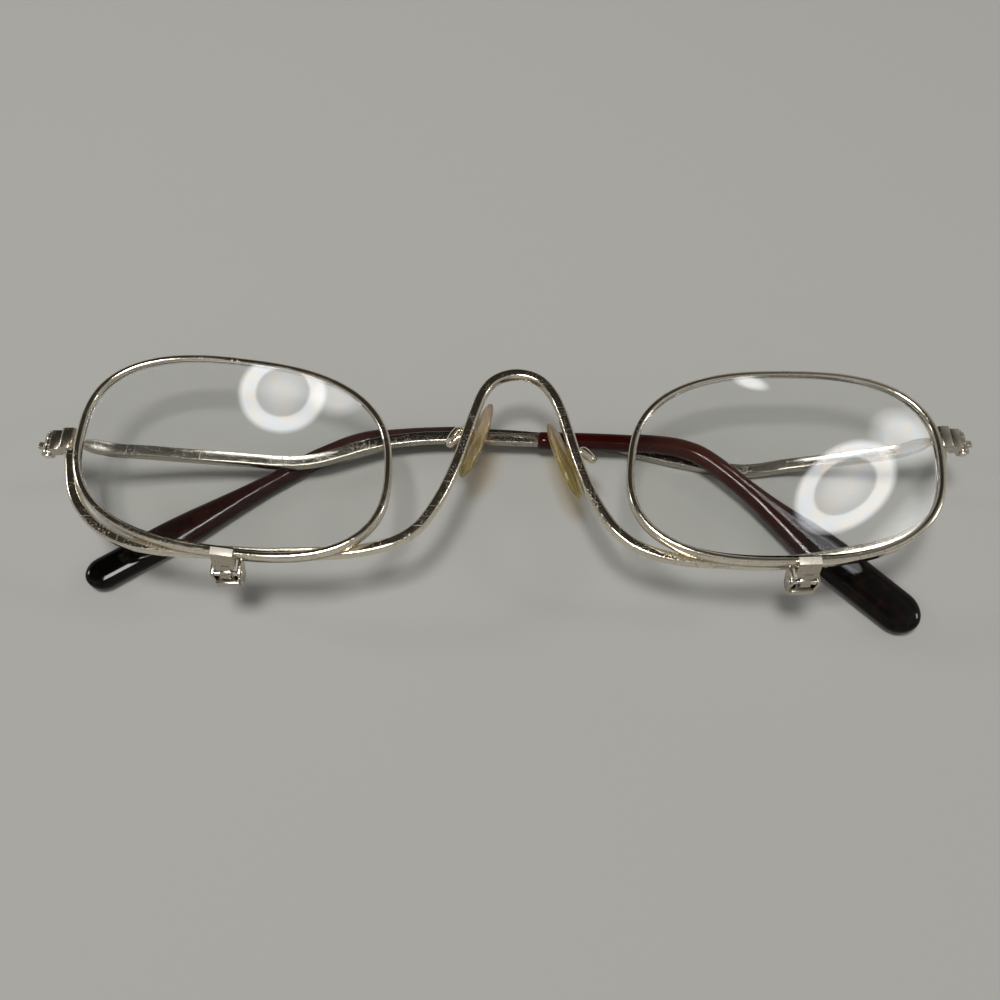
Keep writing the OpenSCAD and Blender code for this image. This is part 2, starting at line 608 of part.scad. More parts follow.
// The arm hooks from the back of the pad box outwards, down and up to the outer side of the carrier's leg
function turn_y(p, a) = [p[0] * cos(a) + p[2] * sin(a), p[1], p[2] * cos(a) - p[0] * sin(a)];
function turn_z(p, a) = [p[0] * cos(a) - p[1] * sin(a), p[0] * sin(a) + p[1] * cos(a), p[2]];
function pad_to_front(p, side) = turn_z(turn_y(p, -pad_splay), pad_lean)
    + [pad_x(side), pad_y(side), pad_z];
hook_drop = [0.9, 0];
function leg_at(side, y) = let (p = nose_points(side))
    lookup(y, [for (i = [len(p) - 1 : -1 : 0]) [p[i][1], p[i][0]]]);
function arm_route(side) = let (back = box_off + box_back, start = pad_to_front([back, 0, 0], side),
    drop = of_side(side, hook_drop[0], hook_drop[1]), leg_y = pad_y(side) - 0.7 - drop,
    leg_out = leg_at(side, leg_y) + wire_w / 2)
    [pad_to_front([back - solder, 0, 0], side), pad_to_front([back + 0.6, -0.3, 0], side),
        start + [1.7, -1.7 - drop / 2, 0.5], start + [1.4, -2.4 - drop, 1.4],
        [leg_out + 0.6, leg_y - 0.3, wire_mid - 0.1], [leg_out - solder, leg_y, wire_mid]];
module pad_arm(side) {
    color(gold) on_side(side) wire(smooth(arm_route(side), 4), [2 * arm_r, 2 * arm_r], 8);
}

// The origin is below the middle of the whole outline, on the table
sides = [-1, 1];
function tip_y(side) = let (path = placed(route(side), side), w = paddle_w(side)) min([for (t = cap_turns,
    q = ring(path, len(path) - 1, [w * cos(t), 0], tip_sides, tip_soft, w / 2 * sin(t))) q[1]]);
tip_low = min([for (s = sides) tip_y(s)]);
rim_high = max([for (i = [0 : rim_count - 1], s = sides) rim_at(s, 360 * i / rim_count, rim_w / 2)[1]]);
middle_x = (hinge_x(1) - hinge_x(-1)) / 2;
middle_y = (max(rim_high, bridge_h + wire_w / 2) + tip_low) / 2;
module in_frame() {
    translate([-middle_x, -middle_y, 0]) children();
}
function shown(name) = node == "all" || node == name;

if (shown("carrier_wire")) in_frame() carrier_wire();
if (shown("end_block_left")) in_frame() end_block(-1);
if (shown("end_block_right")) in_frame() end_block(1);
if (shown("front_hinge_left")) in_frame() front_hinge(-1);
if (shown("front_hinge_right")) in_frame() front_hinge(1);
if (shown("hinge_screw_left")) in_frame() hinge_screw(-1);
if (shown("hinge_screw_right")) in_frame() hinge_screw(1);
if (shown("temple_hinge_left")) in_frame() temple_hinge(-1);
if (shown("temple_hinge_right")) in_frame() temple_hinge(1);
if (shown("temple_bar_left")) in_frame() temple_bar(-1);
if (shown("temple_bar_right")) in_frame() temple_bar(1);
if (shown("temple_tip_left")) in_frame() temple_tip(-1);
if (shown("temple_tip_right")) in_frame() temple_tip(1);
if (shown("flip_bracket_left")) in_frame() flip_bracket(-1);
if (shown("flip_bracket_right")) in_frame() flip_bracket(1);
if (shown("flip_spring_left")) in_frame() flip_spring(-1);
if (shown("flip_spring_right")) in_frame() flip_spring(1);
if (shown("flip_pin_left")) in_frame() flip_pin(-1);
if (shown("flip_pin_right")) in_frame() flip_pin(1);
if (shown("flip_clip_left")) in_frame() flip_clip(-1);
if (shown("flip_clip_right")) in_frame() flip_clip(1);
if (shown("lens_rim_left")) in_frame() lens_rim(-1);
if (shown("lens_rim_right")) in_frame() lens_rim(1);
if (shown("lens_left")) in_frame() lens_body(-1);
if (shown("lens_right")) in_frame() lens_body(1);
if (shown("pad_arm_left")) in_frame() pad_arm(-1);
if (shown("pad_arm_right")) in_frame() pad_arm(1);
if (shown("pad_box_left")) in_frame() pad_box(-1);
if (shown("pad_box_right")) in_frame() pad_box(1);
if (shown("pad_pin_left")) in_frame() pad_pin(-1);
if (shown("pad_pin_right")) in_frame() pad_pin(1);
if (shown("nose_pad_left")) in_frame() nose_pad(-1);
if (shown("nose_pad_right")) in_frame() nose_pad(1);
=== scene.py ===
"""Flip-down makeup glasses, lying on their folded temples."""
import json
import math

import bmesh
import bpy
from mathutils import Matrix, Vector

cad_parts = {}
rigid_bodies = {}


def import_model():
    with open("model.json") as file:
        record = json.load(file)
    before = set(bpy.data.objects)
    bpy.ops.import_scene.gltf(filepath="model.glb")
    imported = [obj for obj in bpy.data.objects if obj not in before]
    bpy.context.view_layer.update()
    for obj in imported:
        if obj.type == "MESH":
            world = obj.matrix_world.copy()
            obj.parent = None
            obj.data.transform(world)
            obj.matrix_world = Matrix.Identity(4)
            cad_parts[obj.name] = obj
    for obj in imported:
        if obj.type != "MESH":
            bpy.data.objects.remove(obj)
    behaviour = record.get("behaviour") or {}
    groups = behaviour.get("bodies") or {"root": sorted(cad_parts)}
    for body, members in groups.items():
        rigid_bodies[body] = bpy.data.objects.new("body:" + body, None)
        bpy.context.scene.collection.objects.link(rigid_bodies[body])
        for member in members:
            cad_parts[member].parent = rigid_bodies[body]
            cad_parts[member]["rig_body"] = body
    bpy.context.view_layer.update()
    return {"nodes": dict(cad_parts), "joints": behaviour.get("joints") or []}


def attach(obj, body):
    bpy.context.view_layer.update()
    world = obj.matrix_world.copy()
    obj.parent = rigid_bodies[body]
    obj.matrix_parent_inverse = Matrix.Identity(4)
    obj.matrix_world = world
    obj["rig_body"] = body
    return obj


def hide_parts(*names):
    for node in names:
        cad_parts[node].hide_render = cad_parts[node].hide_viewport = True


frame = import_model()
nodes = frame["nodes"]
joints = {j["name"]: j for j in frame["joints"]}
scene = bpy.context.scene
MM = 0.001

# Sizes in millimetres, as in the solids
RIM_W, RIM_D, RIM_GAP = 1.05, 1.8, 0.15
LENS_W, LENS_H, LENS_POWER, LENS_RISE = 43.6, 30.5, 2.6, 3.4
LENS_EDGE, LENS_FRONT_R = 0.75, 200
# Each lens's centre, and its roll clockwise in its own plane
LENS_PLACE = {"left": (-40.2, 0.4, -0.9), "right": (39.6, -0.7, 8.3)}
SIDE = {"left": -1, "right": 1}
FRONT_Z = 14.0
WIRE_W, WIRE_D, WIRE_EDGE = 1.55, 1.5, 0.4
WIRE_Z = FRONT_Z - RIM_D - RIM_GAP - WIRE_D / 2
HINGE_X = {"left": 68.3, "right": 67.9}
HINGE_Y = {"left": 3.2, "right": 4.8}
BLOCK_UNDER, LEAF_GAP, LEAF_T = 0.7, 0.2, 0.7
HINGE_Z = WIRE_Z - BLOCK_UNDER - LEAF_GAP - LEAF_T / 2
RIM_A, RIM_B = (LENS_W + RIM_W) / 2, (LENS_H + RIM_W) / 2
# From the middle of the front to the frame's origin
SHIFT_X = joints["temple_right_fold"]["pos_m"][0] / MM - HINGE_X["right"]
SHIFT_Y = joints["temple_right_fold"]["pos_m"][1] / MM - HINGE_Y["right"]


def row(p):
    """A point in millimetres round the middle of the front, as a point of the frame in metres."""
    return Vector((p[0] + SHIFT_X, p[1] + SHIFT_Y, p[2])) * MM


# Curves
def at(points, i):
    return points[max(0, min(len(points) - 1, i))]


def curve_point(points, i, t):
    """A point on a smooth curve through the points, a share t of the way on from point i."""
    a, b, c, d = (Vector(at(points, i + k)) for k in (-1, 0, 1, 2))
    return 0.5 * (2 * b + (c - a) * t + (2 * a - 5 * b + 4 * c - d) * t * t
                  + (3 * b - a - 3 * c + d) * t ** 3)


def smooth(points, steps):
    out = [curve_point(points, i, k / steps) for i in range(len(points) - 1) for k in range(steps)]
    return out + [Vector(points[-1])]


def frames_along(path):
    """Each point's direction, side and up, with the side level."""
    out = []
    n = len(path)
    for i in range(n):
        along = (path[min(n - 1, i + 1)] - path[max(0, i - 1)]).normalized()
        side = Vector((0, 0, 1)).cross(along).normalized()
        out.append((along, side, along.cross(side)))
    return out


def rounded(w, t, r, steps=3):
    """A rounded rectangle's corners, as (side, up) pairs, anticlockwise."""
    out = []
    for cx, cy, start in ((w / 2 - r, t / 2 - r, 0), (r - w / 2, t / 2 - r, 90),
                          (r - w / 2, r - t / 2, 180), (w / 2 - r, r - t / 2, 270)):
        for k in range(steps + 1):
            a = math.radians(start + 90 * k / steps)
            out.append((cx + r * math.cos(a), cy + r * math.sin(a)))
    return out


# Mesh helpers
FLAT_TURN, EDGE_TURN = math.radians(1.5), math.radians(30)


def piece(name, verts, faces, material, body, stands_for, sharp):
    mesh = bpy.data.meshes.new(name)
    mesh.from_pydata([tuple(v) for v in verts], [], faces)
    bm = bmesh.new()
    bm.from_mesh(mesh)
    bmesh.ops.remove_doubles(bm, verts=bm.verts, dist=1e-7)
    bmesh.ops.recalc_face_normals(bm, faces=bm.faces)
    bm.to_mesh(mesh)
    bm.free()
    return dress(bpy.data.objects.new(name, mesh), material, body, stands_for, sharp)


def dress(obj, material, body, stands_for, sharp):
    mesh = obj.data
    for poly in mesh.polygons:
        poly.use_smooth = True
    mesh.set_sharp_from_angle(angle=math.radians(sharp))
    mesh.materials.clear()
    mesh.materials.append(material)
    scene.collection.objects.link(obj)
    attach(obj, body)
    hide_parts(*stands_for)
    return obj


def skin(rings, closed=False):
    """Vertices and faces of a surface through rings of corners, capped unless it is closed."""
    sides = len(rings[0])
    verts = [v for ring in rings for v in ring]
    count = len(rings)
    faces = []
    for i in range(count if closed else count - 1):
        for k in range(sides):
            a, b = i * sides + k, i * sides + (k + 1) % sides
            c, d = ((i + 1) % count) * sides + (k + 1) % sides, ((i + 1) % count) * sides + k
            faces.append((a, b, c, d))
    if not closed:
        faces.append(tuple(range(sides)))
        faces.append(tuple((count - 1) * sides + k for k in range(sides)))
    return verts, faces


def swept(path, section_at):
    """Rings of corners along a path, from the section at each of its points."""
    return [[row(point + side * u + up * v) for u, v in section_at(i)]
            for i, (point, (_, side, up)) in enumerate(zip(path, frames_along(path)))]


def eased(node, material, width):
    """A CAD node's shape with its edges broken, as a piece of its own."""
    src = nodes[node]
    mesh = src.data.copy()
    mesh.name = node + "_eased"
    bm = bmesh.new()
    bm.from_mesh(mesh)
    bmesh.ops.remove_doubles(bm, verts=bm.verts, dist=2e-6)
    bmesh.ops.dissolve_limit(bm, angle_limit=FLAT_TURN, verts=bm.verts, edges=bm.edges)
    edges = [e for e in bm.edges if len(e.link_faces) == 2 and e.calc_face_angle(0) > EDGE_TURN]
    bmesh.ops.bevel(bm, geom=edges, offset=width * MM, offset_type="OFFSET", segments=2,
                    profile=0.5, affect="EDGES", clamp_overlap=True)
    bmesh.ops.recalc_face_normals(bm, faces=bm.faces)
    bm.to_mesh(mesh)
    bm.free()
    obj = bpy.data.objects.new(node + "_eased", mesh)
    return dress(obj, material, src["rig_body"], (node,), sharp=50)


def paint_top_highlight(obj, material):
    """Gives the faces at a piece's top, within a depth of it, a second material: a lighter copy
    that is a painted highlight.
    """
    depth = 0.2 * MM
    mesh = obj.data
    mesh.materials.append(material)
    top = max(v.co.z for v in mesh.vertices)
    for poly in mesh.polygons:
        if poly.normal.z > 0.4 and poly.center.z > top - depth:
            poly.material_index = 1


# Materials
def noise(tree, vector, scale, detail, rough=0.55):
    node = tree.nodes.new("ShaderNodeTexNoise")
    node.inputs["Scale"].default_value = scale
    node.inputs["Detail"].default_value = detail
    node.inputs["Roughness"].default_value = rough
    tree.links.new(vector, node.inputs["Vector"])
    return node.outputs["Fac"]


def ramp(tree, value, low, high, to_low=0.0, to_high=1.0):
    node = tree.nodes.new("ShaderNodeMapRange")
    node.inputs["From Min"].default_value = low
    node.inputs["From Max"].default_value = high
    node.inputs["To Min"].default_value = to_low
    node.inputs["To Max"].default_value = to_high
    tree.links.new(value, node.inputs["Value"])
    return node.outputs["Result"]


def math_node(tree, kind, a, b):
    node = tree.nodes.new("ShaderNodeMath")
    node.operation = kind
    for sock, value in zip(node.inputs, (a, b)):
        if isinstance(value, (int, float)):
            sock.default_value = value
        else:
            tree.links.new(value, sock)
    return node.outputs[0]


def mix_colour(tree, fac, a, b):
    node = tree.nodes.new("ShaderNodeMix")
    node.data_type = "RGBA"
    tree.links.new(fac, node.inputs[0])
    node.inputs[6].default_value = a
    node.inputs[7].default_value = b
    return node.outputs[2]


def coordinates(tree):
    return tree.nodes.new("ShaderNodeTexCoord").outputs["Object"]


def stretched(tree, vector, scale, turn):
    node = tree.nodes.new("ShaderNodeMapping")
    node.inputs["Scale"].default_value = scale
    node.inputs["Rotation"].default_value = (0, 0, math.radians(turn))
    tree.links.new(vector, node.inputs["Vector"])
    return node.outputs["Vector"]


def build_wear():
    """Worn plate: a mask of fine scuffs and pits."""
    group = bpy.data.node_groups.new("plate_wear", "ShaderNodeTree")
    group.interface.new_socket(name="Vector", in_out="INPUT", socket_type="NodeSocketVector")
    group.interface.new_socket(name="Scuff", in_out="OUTPUT", socket_type="NodeSocketFloat")
    v = group.nodes.new("NodeGroupInput").outputs["Vector"]
    pits = ramp(group, noise(group, v, 3400, 4.0, 0.65), 0.5, 0.62)
    patches = ramp(group, noise(group, v, 300, 3.0), 0.38, 0.6)
    across = stretched(group, v, (260, 5200, 800), 18)
    down = stretched(group, v, (4800, 300, 800), -24)
    lines_a = ramp(group, noise(group, across, 1.0, 2.0), 0.62, 0.7)
    lines_b = ramp(group, noise(group, down, 1.0, 2.0), 0.64, 0.72)
    lines = math_node(group, "MAXIMUM", lines_a, lines_b)
    worn = math_node(group, "MULTIPLY", pits, patches)
    scuff = math_node(group, "MAXIMUM", worn, math_node(group, "MULTIPLY", lines, 0.7))
    group.links.new(scuff, group.nodes.new("NodeGroupOutput").inputs["Scuff"])
    return group


wear_group = build_wear()


def principled(name):
    material = bpy.data.materials.new(name)
    material.use_nodes = True
    return material, material.node_tree, material.node_tree.nodes["Principled BSDF"]


def plated(name, colour, worn_colour, low_rough, high_rough, bump=0.12, metallic=1.0):
    material, tree, bsdf = principled(name)
    group = tree.nodes.new("ShaderNodeGroup")
    group.node_tree = wear_group
    tree.links.new(coordinates(tree), group.inputs["Vector"])
    scuff = group.outputs["Scuff"]
    tree.links.new(mix_colour(tree, scuff, colour, worn_colour), bsdf.inputs["Base Color"])
    tree.links.new(ramp(tree, scuff, 0, 1, low_rough, high_rough), bsdf.inputs["Roughness"])
    bsdf.inputs["Metallic"].default_value = metallic
    node = tree.nodes.new("ShaderNodeBump")
    node.inputs["Strength"].default_value = bump
    node.inputs["Distance"].default_value = 0.02 * MM
    tree.links.new(scuff, node.inputs["Height"])
    tree.links.new(node.outputs["Normal"], bsdf.inputs["Normal"])
    return material


def let_light_through(tree, bsdf, tint):
    """Light passes straight through a clear piece on its way to what lies below it."""
    out = tree.nodes["Material Output"]
    path = tree.nodes.new("ShaderNodeLightPath")
    clear = tree.nodes.new("ShaderNodeBsdfTransparent")
    clear.inputs["Color"].default_value = tint
    mix = tree.nodes.new("ShaderNodeMixShader")
    shadow, diffuse = path.outputs["Is Shadow Ray"], path.outputs["Is Diffuse Ray"]
    tree.links.new(math_node(tree, "MAXIMUM", shadow, diffuse), mix.inputs[0])
    tree.links.new(bsdf.outputs[0], mix.inputs[1])
    tree.links.new(clear.outputs[0], mix.inputs[2])
    tree.links.new(mix.outputs[0], out.inputs["Surface"])


def lens_material():
    material, tree, bsdf = principled("clear_lens")
    bsdf.inputs["Base Color"].default_value = (0.985, 0.99, 0.985, 1)
    bsdf.inputs["Transmission Weight"].default_value = 1.0
    bsdf.inputs["IOR"].default_value = 1.5
    v = coordinates(tree)
    scratches = stretched(tree, v, (180, 5200, 500), 30)
    lines = ramp(tree, noise(tree, scratches, 1.0, 3.0), 0.66, 0.74)
    specks = ramp(tree, noise(tree, v, 1500, 2.0), 0.74, 0.8)
    marks = math_node(tree, "MAXIMUM", lines, specks)
    tree.links.new(ramp(tree, marks, 0, 1, 0.0, 0.06), bsdf.inputs["Roughness"])
    let_light_through(tree, bsdf, (0.98, 0.985, 0.98, 1))
    return material


def tip_material(name, stops):
    """Glossy tortoise, whose tint changes along X between stops of a place and a colour."""
    material, tree, bsdf = principled(name)
    v = coordinates(tree)
    split = tree.nodes.new("ShaderNodeSeparateXYZ")
    tree.links.new(v, split.inputs[0])
    low, high = stops[0][0], stops[-1][0]
    share = ramp(tree, split.outputs["X"], low * MM, high * MM)
    cloud = ramp(tree, noise(tree, v, 420, 3.0), 0.35, 0.65, -0.04, 0.04)
    share = math_node(tree, "ADD", share, cloud)
    node = tree.nodes.new("ShaderNodeValToRGB")
    colours = node.color_ramp
    for element, (_, colour) in zip(colours.elements, (stops[0], stops[-1])):
        element.color = (*colour, 1)
    for x, colour in stops[1:-1]:
        colours.elements.new((x - low) / (high - low)).color = (*colour, 1)
    tree.links.new(share, node.inputs[0])
    tree.links.new(node.outputs[0], bsdf.inputs["Base Color"])
    bsdf.inputs["Roughness"].default_value = 0.09
    bsdf.inputs["IOR"].default_value = 1.4
    bsdf.inputs["Specular IOR Level"].default_value = 0.3
    let_light_through(tree, bsdf, (0.12, 0.03, 0.02, 1))
    return material


def pad_material():
    """Translucent silicone, yellowed at its lower end and rosier towards the bridge."""
    material, tree, bsdf = principled("soft_pad")
    v = coordinates(tree)
    split = tree.nodes.new("ShaderNodeSeparateXYZ")
    tree.links.new(v, split.inputs[0])
    cloud = ramp(tree, noise(tree, v, 300, 2.0), 0.35, 0.65, -0.2, 0.2)
    height = math_node(tree, "ADD", ramp(tree, split.outputs["Y"], 1 * MM, 13 * MM), cloud)
    tint = mix_colour(tree, height, (0.6, 0.5, 0.16, 1), (0.6, 0.47, 0.38, 1))
    tree.links.new(tint, bsdf.inputs["Base Color"])
    bsdf.inputs["Transmission Weight"].default_value = 0.85
    bsdf.inputs["Roughness"].default_value = 0.16
    bsdf.inputs["IOR"].default_value = 1.42
    let_light_through(tree, bsdf, (0.75, 0.65, 0.45, 1))
    return material


GOLD = (0.83, 0.76, 0.62, 1)
GOLD_WORN = (0.46, 0.42, 0.35, 1)
wire_gold = plated("wire_gold", GOLD, GOLD_WORN, 0.1, 0.4)
# A darker copy of the gold for the temple bars: painted shade
bar_gold_painted_shade = plated("bar_gold_painted_shade", (0.45, 0.42, 0.36, 1), (0.2, 0.19, 0.17, 1), 0.14, 0.42)
rim_gold = plated("rim_gold", (0.86, 0.78, 0.64, 1), GOLD_WORN, 0.1, 0.3, 0.08)
# The sheet pieces' gold is darkened: painted shade, standing in for the shadowed table that their
# faces mirror
sheet_gold_painted_shade = plated("sheet_gold_painted_shade", (0.54, 0.49, 0.41, 1), (0.42, 0.37, 0.3, 1), 0.2, 0.34, 0.04)
# A lighter, less metallic copy of the sheet gold for the clip's top faces: painted highlight
lip_gold_painted_highlight = plated("lip_gold_painted_highlight", (0.88, 0.83, 0.72, 1), (0.7, 0.64, 0.54, 1), 0.42, 0.5, 0.04,
                  metallic=0.45)
pin_steel = plated("pin_steel", (0.78, 0.76, 0.72, 1), (0.5, 0.48, 0.46, 1), 0.15, 0.35, 0.05)
lens_clear = lens_material()
# The right sleeve's dark greenish first stop is painted shade, where the sleeve lies under the left
# temple and pad
tip_right_plastic_and_painted_shade = tip_material("tip_right_plastic_and_painted_shade", (
    (-3, (0.009, 0.01, 0.006)), (-12, (0.03, 0.018, 0.014)), (-20, (0.042, 0.019, 0.014)),
    (-36, (0.024, 0.009, 0.008)), (-48, (0.014, 0.003, 0.002)), (-56, (0.0012, 0.001, 0.0008))))
tip_left_plastic = tip_material("tip_left_plastic", (
    (4, (0.03, 0.0025, 0.0015)), (18, (0.022, 0.002, 0.0015)), (24, (0.034, 0.007, 0.0045)),
    (33, (0.044, 0.011, 0.006)), (41, (0.024, 0.005, 0.003)), (47, (0.0016, 0.001, 0.0008))))
pad_soft = pad_material()


# Rims and lenses
CROWN, GROOVE, OUTER_BREAK, INNER_BREAK = 0.3, 0.3, 0.25, 0.2
BEVEL_OUT, BEVEL_HALF, LENS_PLAY = 0.2, 0.22, 0.04
RIM_SIDES, LENS_SIDES, DOME_RINGS = 288, 192, 14


def soft(v, power):
    """A value to a power, with its sign kept."""
    return math.copysign(abs(v) ** power, v)


def oval(f):
    """The middle of the rim's wire at an angle: a squarish oval that rises on its outer side."""
    across, down = abs(math.cos(f)) / RIM_A, abs(math.sin(f)) / RIM_B
    r = (across ** LENS_POWER + down ** LENS_POWER) ** (-1 / LENS_POWER)
    return Vector((r * math.cos(f), r * (math.sin(f) + LENS_RISE / RIM_A * math.cos(f)), 0))


def oval_out(f):
    """The oval's outward direction at an angle."""
    step = math.radians(0.5)
    t = oval(f + step) - oval(f - step)
    return Vector((t.y, -t.x, 0)).normalized()


def rim_point(f, off):
    return oval(f) + oval_out(f) * off


def lens_place(p, name):
    """A point round the lens's own centre, drawn for the right side, on either side."""
    x0, y0, roll = LENS_PLACE[name]
    a = math.radians(-roll)
    x, y = SIDE[name] * p[0], p[1]
    return (x * math.cos(a) - y * math.sin(a) + x0, x * math.sin(a) + y * math.cos(a) + y0,
            p[2] + FRONT_Z - RIM_D / 2)


def rim_section():
    """The rim's section: a crowned front, and a groove on the inside that holds the lens."""
    w, d = RIM_W / 2, RIM_D / 2
    turns = [math.radians(a) for a in range(0, 181, 15)]
    crown = [(w * math.cos(a), d - CROWN + CROWN * math.sin(a)) for a in turns]
    groove = [(-w, GROOVE), (GROOVE - w, 0.0), (-w, -GROOVE)]
    back = [(-w, INNER_BREAK - d), (INNER_BREAK - w, -d), (w - OUTER_BREAK, -d)]
    return [(w, OUTER_BREAK - d)] + crown + groove + back


def rim(name):
    rings = []
    for i in range(RIM_SIDES):
        f = 2 * math.pi * i / RIM_SIDES
        rings.append([row(lens_place(rim_point(f, off) + Vector((0, 0, z)), name))
                      for off, z in rim_section()])
    verts, faces = skin(rings, closed=True)
    return piece("rim_wire_" + name, verts, faces, rim_gold, "lens_unit_" + name,
                 ("lens_rim_" + name,), sharp=50)


def sag(d):
    """How far the lens's front falls back at a distance from its middle."""
    return LENS_FRONT_R - math.sqrt(LENS_FRONT_R * LENS_FRONT_R - d * d)


def lens(name):
    """A domed front over a flat back, with a bevel round the edge that sits in the rim's groove."""
    off = -RIM_W / 2 - LENS_PLAY
    turns = [2 * math.pi * i / LENS_SIDES for i in range(LENS_SIDES)]
    edge = [rim_point(f, off) for f in turns]
    bevel = [rim_point(f, off + BEVEL_OUT) for f in turns]
    reach = max(p.length for p in edge)
    front = LENS_EDGE / 3

    def flat_ring(points, z, share=1.0):
        return [row(lens_place((p.x * share, p.y * share, z), name)) for p in points]

    def dome_ring(share):
        top = front + sag(reach)
        return [row(lens_place((p.x * share, p.y * share, top - sag(p.length * share)), name))
                for p in edge]

    shares = [math.sin(math.pi / 2 * k / DOME_RINGS) for k in range(1, DOME_RINGS + 1)]
    rings = [flat_ring(edge, front - LENS_EDGE, share) for share in shares]
    rings += [flat_ring(edge, -BEVEL_HALF), flat_ring(bevel, 0), flat_ring(edge, BEVEL_HALF)]
    rings += [dome_ring(share) for share in reversed(shares)]
    verts, faces = skin(rings)
    return piece("lens_glass_" + name, verts, faces, lens_clear, "lens_unit_" + name,
                 ("lens_" + name,), sharp=20)


# Carrier wire: from the bridge's top down the leg, as distances outwards and up, then behind the
# rim, as angles round the lens and distances outside the rim's wire
NOSE = {"left": [(-0.9, 16), (2.3, 15), (4.35, 12.5), (5.8, 8.3), (8, 0.6), (10.1, -4.9),
                 (12.4, -9.2), (14.3, -11.3), (16.7, -12.8), (20.3, -13.9), (24.3, -14.5)],
        "right": [(0.9, 16), (4.1, 15), (6.25, 12.3), (7.7, 8.3), (9.55, 0.6), (11.3, -4.9),
                  (13.4, -9.2), (15.2, -11.5), (17.3, -13.2), (20.6, -14.6), (24.3, -15.3)]}
ARC = {"left": [(242, -1.2), (270, -0.8), (285, -0.35), (300, 0.45), (315, 1.4), (330, 1.75),
                (350, 1.6)],
       "right": [(242, -0.3), (270, -0.6), (290, -1.2), (305, -1.5), (320, -1.15), (340, 0.1),
                 (350, 0.55)]}
ARC_IN, ARC_OUT, ARC_STEPS = 242, 350, 9
# The wire ends in the end block, so far in from the hinge screw and so far down the front from it
WIRE_END_IN, WIRE_END_DOWN = 4, 1.7


def lookup(x, table):
    """The value at x on straight lines between a table's rows."""
    for (x0, y0), (x1, y1) in zip(table, table[1:]):
        if x <= x1:
            return y0 + (y1 - y0) * (x - x0) / (x1 - x0)
    return table[-1][1]


def half_route(name):
    """The carrier wire's points on one side, as distances outwards and up."""
    arc = []
    for k in range(ARC_STEPS + 1):
        f = ARC_IN + (ARC_OUT - ARC_IN) * k / ARC_STEPS
        x, y, _ = lens_place(rim_point(math.radians(f), lookup(f, ARC[name])), name)
        arc.append((abs(x), y))
    return NOSE[name] + arc + [(HINGE_X[name] - WIRE_END_IN, HINGE_Y[name] - WIRE_END_DOWN)]


def carrier_points():
    left = [(-x, y) for x, y in reversed(half_route("left")[1:])]
    return [(x, y, WIRE_Z) for x, y in left + half_route("right")]


def carrier():
    path = smooth(carrier_points(), 10)
    section = rounded(WIRE_W, WIRE_D, WIRE_EDGE, 5)
    verts, faces = skin(swept(path, lambda i: section))
    return piece("carrier_bent_wire", verts, faces, wire_gold, "frame",
                 ("carrier_wire",), sharp=60)


# Temples
STRAIGHT = 96
BAR_W, BAR_T, BAR_EDGE = 1.8, 1.3, 0.16
BAR_START, BAR_START_W, BAR_WIDENING = 5.2, 1, 0.6
CORE_W, CORE_T, CORE_EDGE = 1.3, 0.9, 0.2
SLEEVE_W, SLEEVE_T, SLEEVE_SOFT, SLEEVE_SIDES = 2.7, 2.5, 0.78, 32
MOUTH_W, MOUTH_T, MOUTH_DOME = 1.5, 1.1, 0.55
# The right temple lies on the table, and the left one on it
TEMPLE_GAP = 0.2
LOW_Z = SLEEVE_T / 2
HIGH_Z = SLEEVE_T + TEMPLE_GAP + BAR_T / 2
# Points of each resting temple: from the screw towards the other side, up the front, off the table
LEFT_REST = [(BAR_START, HINGE_Y["left"], HINGE_Z), (9.4, 3.15, HINGE_Z - 1.8), (13.4, 3.5, 7.1),
             (20.4, 3.9, 5.3), (27, 4.05, HIGH_Z + 0.9), (33, 4.1, HIGH_Z + 0.2),
             (38, 4.8, HIGH_Z), (44.5, 7.1, HIGH_Z), (49.5, 8.5, HIGH_Z), (56, 9.3, HIGH_Z),
             (63.5, 9.3, HIGH_Z), (71.5, 9.2, HIGH_Z - 0.3), (82.5, 9, HIGH_Z - 0.4),
             (STRAIGHT - 5.5, 8.5, HIGH_Z - 0.4), (STRAIGHT + 0.5, 7.4, HIGH_Z - 0.4),
             (STRAIGHT + 5, 4.6, HIGH_Z - 0.5)]
RIGHT_REST = [(BAR_START, HINGE_Y["right"], HINGE_Z), (8.3, 4.45, HINGE_Z - 1.9), (11, 4.4, 6.9),
              (16, 4.8, 4.6), (24, 5.2, LOW_Z + 0.5), (31, 4.8, LOW_Z - 0.4),
              (40, 6.6, LOW_Z - 0.5), (52, 9.7, LOW_Z - 0.5), (62, 10.7, LOW_Z - 0.3),
              (72, 11.2, LOW_Z), (84, 10.8, LOW_Z), (STRAIGHT - 4, 9.6, LOW_Z),
              (STRAIGHT + 2, 6.8, LOW_Z), (STRAIGHT + 5.5, 4.6, LOW_Z)]
# Each temple's resting line, its drop's length and angle, and where its sleeve starts
TEMPLES = {"left": (LEFT_REST, 33.6, 44, STRAIGHT - 24.1),
           "right": (RIGHT_REST, 32.2, 34, STRAIGHT - 24)}
# The paddle starts and widens over these shares of its sleeve
PADDLE_W = {"left": 6.9, "right": 5.2}
PADDLE_FROM, PADDLE_BY, PADDLE_BLUNT = 0.62, 0.26, 0.45
STEPS = 9


def temple_route(name):
    """The temple's middle line, and each point's distance from the screw."""
    rest, length, bend, _ = TEMPLES[name]
    end = rest[-1]
    a = math.radians(bend)
    drop = [(end[0] + length * k / 3 * math.cos(a), end[1] - length * k / 3 * math.sin(a),
             end[2] + (LOW_Z - end[2]) * k / 3) for k in (1, 2, 3)]
    line = smooth(rest + drop, STEPS)
    path = [Vector((SIDE[name] * (HINGE_X[name] - q.x), q.y, q.z)) for q in line]
    return path, [q.x for q in line]


